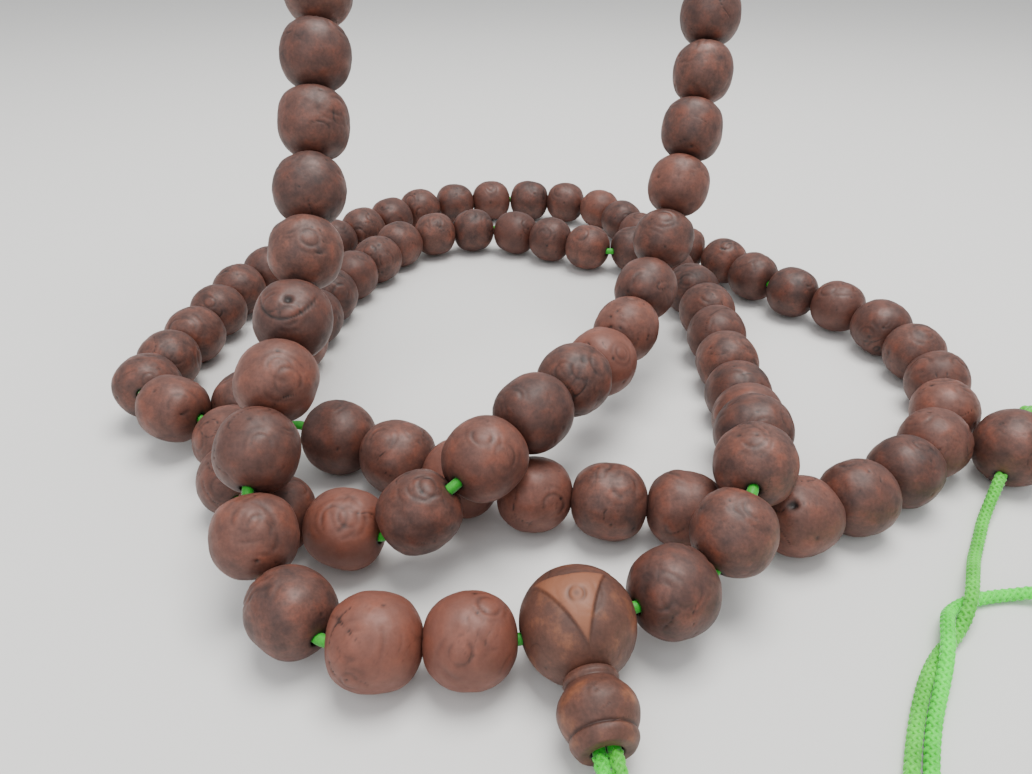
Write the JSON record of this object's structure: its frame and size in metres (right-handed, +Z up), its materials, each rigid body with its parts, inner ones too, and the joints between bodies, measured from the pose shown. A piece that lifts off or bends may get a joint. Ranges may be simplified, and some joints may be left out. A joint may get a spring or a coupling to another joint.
{
  "type": "mala prayer beads",
  "caption": "Mala of round seed beads on one braided cord, with a guru bead, a turned tower bead and two loose cord ends with beads, hanging over a crown and coiled on a surface.",
  "frame": {"origin": "the underside of the strand's highest bead, where the crown that it hangs on carries it", "axes": "+Z up; +Y from the guru bead towards the crown; +X to the right seen from the guru bead's side"},
  "size_m": [0.2596, 0.3329, 0.2266],
  "materials": {
    "seed": "satin polished seed",
    "guru": "satin polished wood",
    "cord": "braided lime green cord"
  },
  "bodies": {
    "root": {"bead_string": "cord", "guru_bead": "guru", "tail_cord_a": "cord", "tail_cord_b": "cord", "end_knots": "cord"},
    "beads_001_002": {"beads_001_002": "seed"},
    "beads_003": {"beads_003": "seed"},
    "beads_004": {"beads_004": "seed"},
    "beads_005_007": {"beads_005_007": "seed"},
    "beads_008_009": {"beads_008_009": "seed"},
    "beads_010_012": {"beads_010_012": "seed"},
    "beads_013_015": {"beads_013_015": "seed"},
    "beads_016_017": {"beads_016_017": "seed"},
    "beads_018_019": {"beads_018_019": "seed"},
    "beads_020_021": {"beads_020_021": "seed"},
    "beads_022_023": {"beads_022_023": "seed"},
    "beads_024_025": {"beads_024_025": "seed"},
    "beads_026_027": {"beads_026_027": "seed"},
    "beads_028_030": {"beads_028_030": "seed"},
    "beads_031_032": {"beads_031_032": "seed"},
    "beads_033_034": {"beads_033_034": "seed"},
    "beads_035_036": {"beads_035_036": "seed"},
    "beads_037_038": {"beads_037_038": "seed"},
    "beads_039_040": {"beads_039_040": "seed"},
    "beads_041": {"beads_041": "seed"},
    "beads_042_043": {"beads_042_043": "seed"},
    "beads_044_045": {"beads_044_045": "seed"},
    "beads_046": {"beads_046": "seed"},
    "beads_047_050": {"beads_047_050": "seed"},
    "beads_051_053": {"beads_051_053": "seed"},
    "beads_054_055": {"beads_054_055": "seed"},
    "beads_056_058": {"beads_056_058": "seed"},
    "beads_059": {"beads_059": "seed"},
    "beads_060": {"beads_060": "seed"},
    "beads_061_062": {"beads_061_062": "seed"},
    "beads_063_064": {"beads_063_064": "seed"},
    "beads_065_066": {"beads_065_066": "seed"},
    "beads_067_068": {"beads_067_068": "seed"},
    "beads_069_070": {"beads_069_070": "seed"},
    "beads_071_072": {"beads_071_072": "seed"},
    "beads_073_075": {"beads_073_075": "seed"},
    "beads_076_078": {"beads_076_078": "seed"},
    "beads_079": {"beads_079": "seed"},
    "beads_080": {"beads_080": "seed"},
    "beads_081_084": {"beads_081_084": "seed"},
    "beads_085_088": {"beads_085_088": "seed"},
    "beads_089_090": {"beads_089_090": "seed"},
    "beads_091_092": {"beads_091_092": "seed"},
    "beads_093_094": {"beads_093_094": "seed"},
    "beads_095": {"beads_095": "seed"},
    "beads_096_097": {"beads_096_097": "seed"},
    "beads_098_099": {"beads_098_099": "seed"},
    "beads_100_103": {"beads_100_103": "seed"},
    "beads_104_105": {"beads_104_105": "seed"},
    "beads_106": {"beads_106": "seed"},
    "beads_107": {"beads_107": "seed"},
    "beads_108": {"beads_108": "seed"},
    "tower_bead": {"tower_bead": "guru"},
    "end_bead_a": {"end_bead_a": "seed"},
    "end_bead_b": {"end_bead_b": "seed"}
  },
  "joints": [
    {"name": "beads_001_002_spin", "type": "hinge", "parent": "root", "child": "beads_001_002", "pos_m": [-0.00522, -0.20375, -0.1985], "axis": [-0.9996, -0.027, 0], "continuous": true},
    {"name": "beads_003_spin", "type": "hinge", "parent": "root", "child": "beads_003", "pos_m": [-0.04001, -0.19799, -0.1975], "axis": [-0.7288, 0.6768, 0.1041], "continuous": true},
    {"name": "beads_004_spin", "type": "hinge", "parent": "root", "child": "beads_004", "pos_m": [-0.04956, -0.18509, -0.18983], "axis": [-0.2672, 0.6679, 0.6946], "continuous": true},
    {"name": "beads_005_007_spin", "type": "hinge", "parent": "root", "child": "beads_005_007", "pos_m": [-0.05147, -0.17034, -0.17935], "axis": [0.0551, 0.9003, 0.4318], "continuous": true},
    {"name": "beads_008_009_spin", "type": "hinge", "parent": "root", "child": "beads_008_009", "pos_m": [-0.04913, -0.12308, -0.15385], "axis": [-0.0138, 0.7473, 0.6643], "continuous": true},
    {"name": "beads_010_012_spin", "type": "hinge", "parent": "root", "child": "beads_010_012", "pos_m": [-0.04941, -0.09785, -0.12836], "axis": [0.0093, 0.559, 0.8291], "continuous": true},
    {"name": "beads_013_015_spin", "type": "hinge", "parent": "root", "child": "beads_013_015", "pos_m": [-0.0501, -0.06894, -0.08347], "axis": [-0.1212, 0.4476, 0.886], "continuous": true},
    {"name": "beads_016_017_spin", "type": "hinge", "parent": "root", "child": "beads_016_017", "pos_m": [-0.05331, -0.04411, -0.03641], "axis": [0.2354, 0.5263, 0.8171], "continuous": true},
    {"name": "beads_018_019_spin", "type": "hinge", "parent": "root", "child": "beads_018_019", "pos_m": [-0.04135, -0.02499, -0.00897], "axis": [0.604, 0.5354, 0.5903], "continuous": true},
    {"name": "beads_020_021_spin", "type": "hinge", "parent": "root", "child": "beads_020_021", "pos_m": [-0.01607, -0.00695, 0.00792], "axis": [0.9252, 0.3674, 0.0952], "continuous": true},
    {"name": "beads_022_023_spin", "type": "hinge", "parent": "root", "child": "beads_022_023", "pos_m": [0.01747, 0.00366, 0.00587], "axis": [0.8753, 0.0684, -0.4787], "continuous": true},
    {"name": "beads_024_025_spin", "type": "hinge", "parent": "root", "child": "beads_024_025", "pos_m": [0.04603, 0.00312, -0.0148], "axis": [0.5245, -0.2485, -0.8144], "continuous": true},
    {"name": "beads_026_027_spin", "type": "hinge", "parent": "root", "child": "beads_026_027", "pos_m": [0.06143, -0.00688, -0.04508], "axis": [0.1532, -0.3622, -0.9194], "continuous": true},
    {"name": "beads_028_030_spin", "type": "hinge", "parent": "root", "child": "beads_028_030", "pos_m": [0.06481, -0.02107, -0.07752], "axis": [-0.0745, -0.4938, -0.8664], "continuous": true},
    {"name": "beads_031_032_spin", "type": "hinge", "parent": "root", "child": "beads_031_032", "pos_m": [0.05986, -0.0478, -0.12357], "axis": [-0.1801, -0.5263, -0.831], "continuous": true},
    {"name": "beads_033_034_spin", "type": "hinge", "parent": "root", "child": "beads_033_034", "pos_m": [0.05252, -0.06708, -0.15294], "axis": [-0.2769, -0.5676, -0.7753], "continuous": true},
    {"name": "beads_035_036_spin", "type": "hinge", "parent": "root", "child": "beads_035_036", "pos_m": [0.04121, -0.0906, -0.17726], "axis": [-0.398, -0.8508, -0.3431], "continuous": true},
    {"name": "beads_037_038_spin", "type": "hinge", "parent": "root", "child": "beads_037_038", "pos_m": [0.0259, -0.12178, -0.18466], "axis": [-0.4767, -0.8581, 0.1907], "continuous": true},
    {"name": "beads_039_040_spin", "type": "hinge", "parent": "root", "child": "beads_039_040", "pos_m": [0.00716, -0.15223, -0.18115], "axis": [-0.6184, -0.7662, -0.1748], "continuous": true},
    {"name": "beads_041_spin", "type": "hinge", "parent": "root", "child": "beads_041", "pos_m": [-0.01749, -0.175, -0.19199], "axis": [-0.7715, -0.1543, -0.6172], "continuous": true},
    {"name": "beads_042_043_spin", "type": "hinge", "parent": "root", "child": "beads_042_043", "pos_m": [-0.03445, -0.17344, -0.19813], "axis": [-0.9512, 0.3082, -0.0134], "continuous": true},
    {"name": "beads_044_045_spin", "type": "hinge", "parent": "root", "child": "beads_044_045", "pos_m": [-0.06418, -0.15572, -0.1985], "axis": [-0.369, 0.9294, 0], "continuous": true},
    {"name": "beads_046_spin", "type": "hinge", "parent": "root", "child": "beads_046", "pos_m": [-0.0714, -0.12164, -0.1985], "axis": [0.2676, 0.9635, 0], "continuous": true},
    {"name": "beads_047_050_spin", "type": "hinge", "parent": "root", "child": "beads_047_050", "pos_m": [-0.06811, -0.10383, -0.1985], "axis": [0.0968, 0.9953, 0], "continuous": true},
    {"name": "beads_051_053_spin", "type": "hinge", "parent": "root", "child": "beads_051_053", "pos_m": [-0.05854, -0.03248, -0.1985], "axis": [0.3761, 0.9266, 0], "continuous": true},
    {"name": "beads_054_055_spin", "type": "hinge", "parent": "root", "child": "beads_054_055", "pos_m": [-0.03203, 0.01248, -0.1985], "axis": [0.954, 0.2998, 0], "continuous": true},
    {"name": "beads_056_058_spin", "type": "hinge", "parent": "root", "child": "beads_056_058", "pos_m": [0.00212, 0.01555, -0.1985], "axis": [0.8671, -0.4981, 0], "continuous": true},
    {"name": "beads_059_spin", "type": "hinge", "parent": "root", "child": "beads_059", "pos_m": [0.04985, -0.0041, -0.19802], "axis": [0.9675, 0.2481, 0.0496], "continuous": true},
    {"name": "beads_060_spin", "type": "hinge", "parent": "root", "child": "beads_060", "pos_m": [0.07033, -0.00408, -0.19802], "axis": [0.969, -0.2423, -0.0485], "continuous": true},
    {"name": "beads_061_062_spin", "type": "hinge", "parent": "root", "child": "beads_061_062", "pos_m": [0.08454, -0.01518, -0.1985], "axis": [0.464, -0.8858, 0], "continuous": true},
    {"name": "beads_063_064_spin", "type": "hinge", "parent": "root", "child": "beads_063_064", "pos_m": [0.10296, -0.04434, -0.1985], "axis": [0.7141, -0.7001, 0], "continuous": true},
    {"name": "beads_065_066_spin", "type": "hinge", "parent": "root", "child": "beads_065_066", "pos_m": [0.12397, -0.07234, -0.1985], "axis": [0.2067, -0.9784, 0], "continuous": true},
    {"name": "beads_067_068_spin", "type": "hinge", "parent": "root", "child": "beads_067_068", "pos_m": [0.12649, -0.1074, -0.1985], "axis": [-0.3204, -0.9473, 0], "continuous": true},
    {"name": "beads_069_070_spin", "type": "hinge", "parent": "root", "child": "beads_069_070", "pos_m": [0.11119, -0.13892, -0.1985], "axis": [-0.7278, -0.6858, 0], "continuous": true},
    {"name": "beads_071_072_spin", "type": "hinge", "parent": "root", "child": "beads_071_072", "pos_m": [0.08352, -0.16065, -0.1985], "axis": [-0.9185, -0.3955, 0], "continuous": true},
    {"name": "beads_073_075_spin", "type": "hinge", "parent": "root", "child": "beads_073_075", "pos_m": [0.04204, -0.16557, -0.1985], "axis": [-0.9888, 0.1492, 0], "continuous": true},
    {"name": "beads_076_078_slide", "type": "slide", "parent": "root", "child": "beads_076_078", "axis": [-0.8928, 0.4505, 0], "range_m": [0, 0.0048]},
    {"name": "beads_079_spin", "type": "hinge", "parent": "root", "child": "beads_079", "pos_m": [-0.08828, -0.12987, -0.19522], "axis": [-0.9331, 0.3329, 0.1362], "continuous": true},
    {"name": "beads_080_spin", "type": "hinge", "parent": "root", "child": "beads_080", "pos_m": [-0.10065, -0.11637, -0.1963], "axis": [-0.2487, 0.94, -0.2337], "continuous": true},
    {"name": "beads_081_084_spin", "type": "hinge", "parent": "root", "child": "beads_081_084", "pos_m": [-0.10208, -0.09821, -0.1985], "axis": [0.0988, 0.9951, 0], "continuous": true},
    {"name": "beads_085_088_spin", "type": "hinge", "parent": "root", "child": "beads_085_088", "pos_m": [-0.09101, -0.02882, -0.1985], "axis": [0.5206, 0.8538, 0], "continuous": true},
    {"name": "beads_089_090_spin", "type": "hinge", "parent": "root", "child": "beads_089_090", "pos_m": [-0.05296, 0.03152, -0.1985], "axis": [0.6196, 0.7849, 0], "continuous": true},
    {"name": "beads_091_092_spin", "type": "hinge", "parent": "root", "child": "beads_091_092", "pos_m": [-0.02647, 0.05501, -0.1985], "axis": [0.9784, 0.2067, 0], "continuous": true},
    {"name": "beads_093_094_spin", "type": "hinge", "parent": "root", "child": "beads_093_094", "pos_m": [0.00861, 0.05898, -0.1985], "axis": [0.9864, -0.1644, 0], "continuous": true},
    {"name": "beads_095_spin", "type": "hinge", "parent": "root", "child": "beads_095", "pos_m": [0.04123, 0.04669, -0.1985], "axis": [0.5914, -0.8064, 0], "continuous": true},
    {"name": "beads_096_097_spin", "type": "hinge", "parent": "root", "child": "beads_096_097", "pos_m": [0.04954, 0.03089, -0.1985], "axis": [0.3328, -0.943, 0], "continuous": true},
    {"name": "beads_098_099_spin", "type": "hinge", "parent": "root", "child": "beads_098_099", "pos_m": [0.06201, -0.02538, -0.1985], "axis": [0.2585, -0.966, 0], "continuous": true},
    {"name": "beads_100_103_spin", "type": "hinge", "parent": "root", "child": "beads_100_103", "pos_m": [0.06861, -0.06095, -0.1985], "axis": [-0.0411, -0.9992, 0], "continuous": true},
    {"name": "beads_104_105_spin", "type": "hinge", "parent": "root", "child": "beads_104_105", "pos_m": [0.06393, -0.13319, -0.19487], "axis": [-0.2152, -0.9011, 0.3766], "continuous": true},
    {"name": "beads_106_spin", "type": "hinge", "parent": "root", "child": "beads_106", "pos_m": [0.05532, -0.16702, -0.1845], "axis": [-0.285, -0.9585, 0], "continuous": true},
    {"name": "beads_107_spin", "type": "hinge", "parent": "root", "child": "beads_107", "pos_m": [0.04778, -0.18295, -0.18996], "axis": [-0.4872, -0.6667, -0.5641], "continuous": true},
    {"name": "beads_108_spin", "type": "hinge", "parent": "root", "child": "beads_108", "pos_m": [0.03418, -0.19417, -0.19524], "axis": [-0.8835, -0.4677, 0.026], "continuous": true},
    {"name": "tower_bead_spin", "type": "hinge", "parent": "root", "child": "tower_bead", "pos_m": [0.01657, -0.21133, -0.19855], "axis": [0.1483, -0.9743, -0.1695], "continuous": true},
    {"name": "end_bead_a_spin", "type": "hinge", "parent": "root", "child": "end_bead_a", "pos_m": [0.134, -0.1865, -0.1982], "axis": [0.919, -0.1532, 0.3632], "continuous": true},
    {"name": "end_bead_b_spin", "type": "hinge", "parent": "root", "child": "end_bead_b", "pos_m": [0.1305, -0.141, -0.1982], "axis": [0.5834, 0.7049, 0.4035], "continuous": true}
  ]
}
